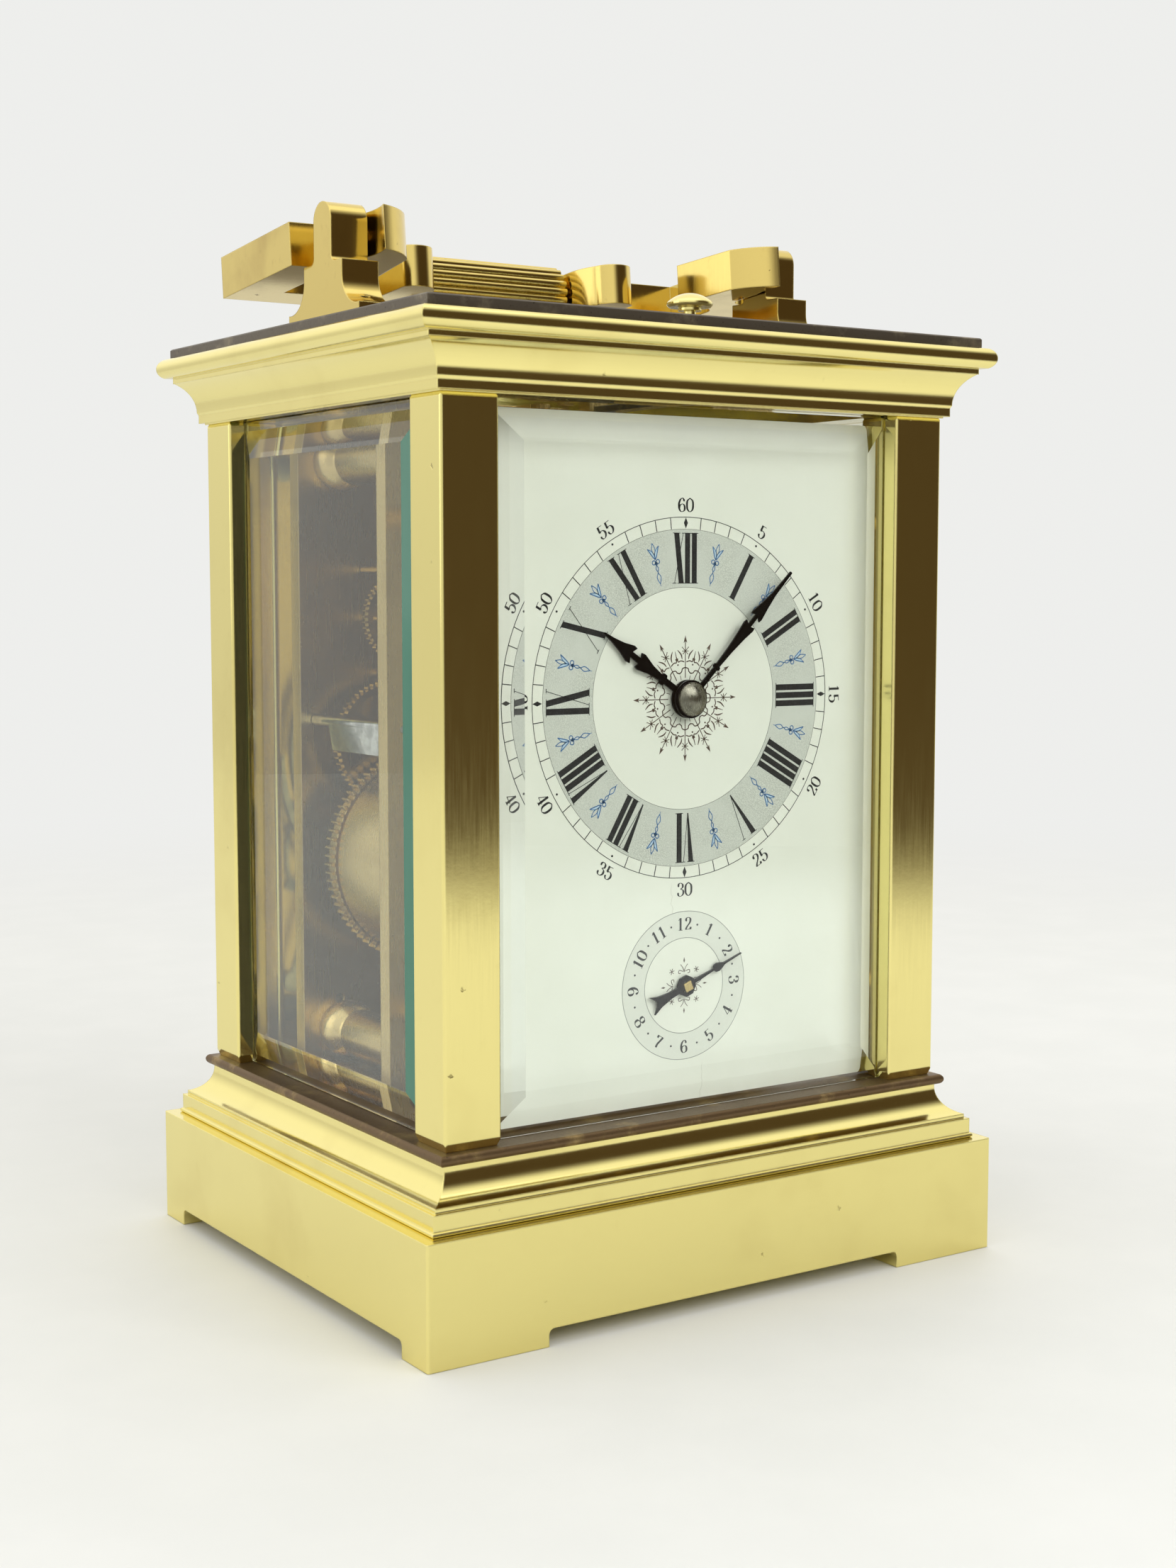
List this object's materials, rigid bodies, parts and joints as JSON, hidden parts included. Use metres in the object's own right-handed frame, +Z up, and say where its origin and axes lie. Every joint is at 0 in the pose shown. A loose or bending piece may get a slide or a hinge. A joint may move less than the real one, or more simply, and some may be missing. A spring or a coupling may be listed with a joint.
{
  "type": "carriage clock",
  "caption": "Brass carriage clock: bevelled glass case on a moulded base, folding top handle, repeat button, enamel time and alarm dials, hinged rear door and a geared movement.",
  "frame": {"origin": "centre of the underside of the base, on the surface the clock stands on", "axes": "+Z up, the dials face -Y, +X to the viewer's right"},
  "size_m": [0.096, 0.0838, 0.151],
  "materials": {
    "case_brass": "polished and lightly brushed, with small dark pits and tarnish",
    "tarnished_brass": "dull grey-brown patina",
    "glass": "clear, bevelled, faint green at the edges",
    "enamel": "glossy white enamel with printed dials and a hairline crack",
    "blued_steel": "polished, heat blued",
    "steel": "polished steel",
    "movement_brass": "satin brass"
  },
  "bodies": {
    "case": {"base_plinth": "case_brass", "base_moulding": "case_brass", "base_lip": "tarnished_brass", "pillar_front_left": "case_brass", "pillar_front_right": "case_brass", "pillar_back_left": "case_brass", "pillar_back_right": "case_brass", "cornice": "case_brass", "top_slab": "tarnished_brass", "glass_top": "glass", "glass_front": "glass", "glass_left": "glass", "glass_right": "glass", "bracket_left": "case_brass", "bracket_right": "case_brass", "case_screws": "steel", "button_bush": "case_brass", "dial_plate": "enamel", "dial_feet": "movement_brass", "seat_board": "movement_brass", "plate_front": "movement_brass", "plate_back": "movement_brass", "movement_pillars": "movement_brass", "movement_screws": "steel", "clicks": "steel", "platform": "movement_brass", "gong": "steel"},
    "rear_door": {"door_frame": "case_brass", "door_glass": "glass", "door_knob": "case_brass"},
    "handle": {"handle_arm_left": "case_brass", "handle_arm_right": "case_brass", "handle_grip": "case_brass", "handle_pivots": "case_brass"},
    "button": {"repeat_button": "case_brass"},
    "repeat_arm": {"repeat_lever": "steel"},
    "minute_arbor": {"centre_wheel": "movement_brass", "minute_hand": "blued_steel", "hand_boss": "steel"},
    "hour_pipe": {"hour_wheel": "movement_brass", "hour_hand": "blued_steel"},
    "minute_wheel_body": {"minute_wheel": "movement_brass"},
    "intermediate": {"intermediate_wheel": "movement_brass"},
    "going_barrel": {"barrel_going": "movement_brass"},
    "third": {"third_wheel": "movement_brass"},
    "contrate": {"contrate_wheel": "movement_brass"},
    "escape": {"escape_wheel": "movement_brass"},
    "pallets": {"pallet_lever": "steel"},
    "balance": {"balance_wheel": "movement_brass"},
    "strike_third": {"strike_third_wheel": "movement_brass"},
    "strike_second": {"strike_second_wheel": "movement_brass"},
    "strike_barrel": {"barrel_strike": "movement_brass"},
    "strike_warning": {"strike_warning_wheel": "movement_brass"},
    "fly": {"strike_fly": "movement_brass"},
    "going_winding": {"winding_arbor_going": "steel"},
    "strike_winding": {"winding_arbor_strike": "steel"},
    "alarm": {"alarm_arbor": "movement_brass", "alarm_hand": "blued_steel"},
    "hammer_body": {"hammer": "steel"},
    "lifting": {"lifting_lever": "steel"}
  },
  "joints": [
    {"name": "rear_door_hinge", "type": "hinge", "parent": "case", "child": "rear_door", "pos_m": [-0.0309, 0.033, 0.0743], "axis": [0, 0, 1], "range_deg": [0, 90]},
    {"name": "handle_swing", "type": "hinge", "parent": "case", "child": "handle", "pos_m": [0, -0.00064, 0.14668], "axis": [1, 0, 0], "range_deg": [0, 169.6]},
    {"name": "button_press", "type": "slide", "parent": "case", "child": "button", "axis": [0, 0, -1], "range_m": [0, 0.0011], "stiffness_N_per_m": 300, "springref_m": -0.0005},
    {"name": "repeat_lever_pivot", "type": "hinge", "parent": "case", "child": "repeat_arm", "pos_m": [-0.014, -0.01, 0.117], "axis": [0, 1, 0], "range_deg": [0, 4.6]},
    {"name": "minute_hand_turn", "type": "hinge", "parent": "case", "child": "minute_arbor", "pos_m": [0, -0.03, 0.083], "axis": [0, 1, 0], "continuous": true},
    {"name": "hour_hand_turn", "type": "hinge", "parent": "case", "child": "hour_pipe", "pos_m": [0, -0.029, 0.083], "axis": [0, 1, 0], "continuous": true},
    {"name": "minute_wheel_turn", "type": "hinge", "parent": "case", "child": "minute_wheel_body", "pos_m": [0.0042, -0.012, 0.07573], "axis": [0, 1, 0], "continuous": true},
    {"name": "intermediate_turn", "type": "hinge", "parent": "case", "child": "intermediate", "pos_m": [0.00913, 0.015, 0.07403], "axis": [0, 1, 0], "continuous": true},
    {"name": "going_barrel_turn", "type": "hinge", "parent": "case", "child": "going_barrel", "pos_m": [0.0164, 0.005, 0.058], "axis": [0, 1, 0], "continuous": true},
    {"name": "third_turn", "type": "hinge", "parent": "case", "child": "third", "pos_m": [-0.00258, 0.005, 0.09533], "axis": [0, 1, 0], "continuous": true},
    {"name": "contrate_turn", "type": "hinge", "parent": "case", "child": "contrate", "pos_m": [0, 0.01, 0.1073], "axis": [0, 1, 0], "continuous": true},
    {"name": "escape_turn", "type": "hinge", "parent": "case", "child": "escape", "pos_m": [0, 0.01395, 0.1244], "axis": [0, 0, 1], "continuous": true},
    {"name": "pallet_rock", "type": "hinge", "parent": "case", "child": "pallets", "pos_m": [0, 0.0076, 0.1244], "axis": [0, 0, 1], "range_deg": [-8, 8]},
    {"name": "balance_swing", "type": "hinge", "parent": "case", "child": "balance", "pos_m": [0, 0.0005, 0.1266], "axis": [0, 0, 1], "range_deg": [-140, 140]},
    {"name": "strike_third_turn", "type": "hinge", "parent": "case", "child": "strike_third", "pos_m": [-0.01947, 0.003, 0.08531], "axis": [0, 1, 0], "continuous": true},
    {"name": "strike_second_turn", "type": "hinge", "parent": "case", "child": "strike_second", "pos_m": [-0.02036, 0.015, 0.07515], "axis": [0, 1, 0], "continuous": true},
    {"name": "strike_barrel_turn", "type": "hinge", "parent": "case", "child": "strike_barrel", "pos_m": [-0.0164, 0.005, 0.058], "axis": [0, 1, 0], "continuous": true},
    {"name": "strike_warning_turn", "type": "hinge", "parent": "case", "child": "strike_warning", "pos_m": [-0.02175, 0.008, 0.09383], "axis": [0, 1, 0], "continuous": true},
    {"name": "fly_turn", "type": "hinge", "parent": "case", "child": "fly", "pos_m": [-0.02238, 0.002, 0.10095], "axis": [0, 1, 0], "continuous": true},
    {"name": "going_winding_turn", "type": "hinge", "parent": "case", "child": "going_winding", "pos_m": [0.0164, 0.023, 0.058], "axis": [0, 1, 0], "continuous": true},
    {"name": "strike_winding_turn", "type": "hinge", "parent": "case", "child": "strike_winding", "pos_m": [-0.0164, 0.023, 0.058], "axis": [0, 1, 0], "continuous": true},
    {"name": "alarm_setting_turn", "type": "hinge", "parent": "case", "child": "alarm", "pos_m": [0, -0.029, 0.04276], "axis": [0, 1, 0], "continuous": true},
    {"name": "hammer_swing", "type": "hinge", "parent": "case", "child": "hammer_body", "pos_m": [-0.027, 0.025, 0.036], "axis": [0, 1, 0], "range_deg": [-12, 3]},
    {"name": "lifting_lever_rock", "type": "hinge", "parent": "case", "child": "lifting", "pos_m": [-0.0304, 0.005, 0.0786], "axis": [0, 1, 0], "range_deg": [0, 8]}
  ],
  "couplings": [
    {"joint": "repeat_lever_pivot", "follows": "button_press", "rad_per_m": 71.429},
    {"joint": "hour_hand_turn", "follows": "minute_hand_turn", "ratio": 0.083333},
    {"joint": "minute_wheel_turn", "follows": "minute_hand_turn", "ratio": -0.33333},
    {"joint": "intermediate_turn", "follows": "minute_hand_turn", "ratio": -0.14286},
    {"joint": "going_barrel_turn", "follows": "minute_hand_turn", "ratio": 0.018315},
    {"joint": "third_turn", "follows": "minute_hand_turn", "ratio": -8},
    {"joint": "contrate_turn", "follows": "minute_hand_turn", "ratio": 60},
    {"joint": "escape_turn", "follows": "minute_hand_turn", "ratio": 540},
    {"joint": "strike_second_turn", "follows": "strike_third_turn", "ratio": -0.13333},
    {"joint": "strike_barrel_turn", "follows": "strike_third_turn", "ratio": 0.017094},
    {"joint": "strike_warning_turn", "follows": "strike_third_turn", "ratio": -8},
    {"joint": "fly_turn", "follows": "strike_third_turn", "ratio": 54.857}
  ]
}
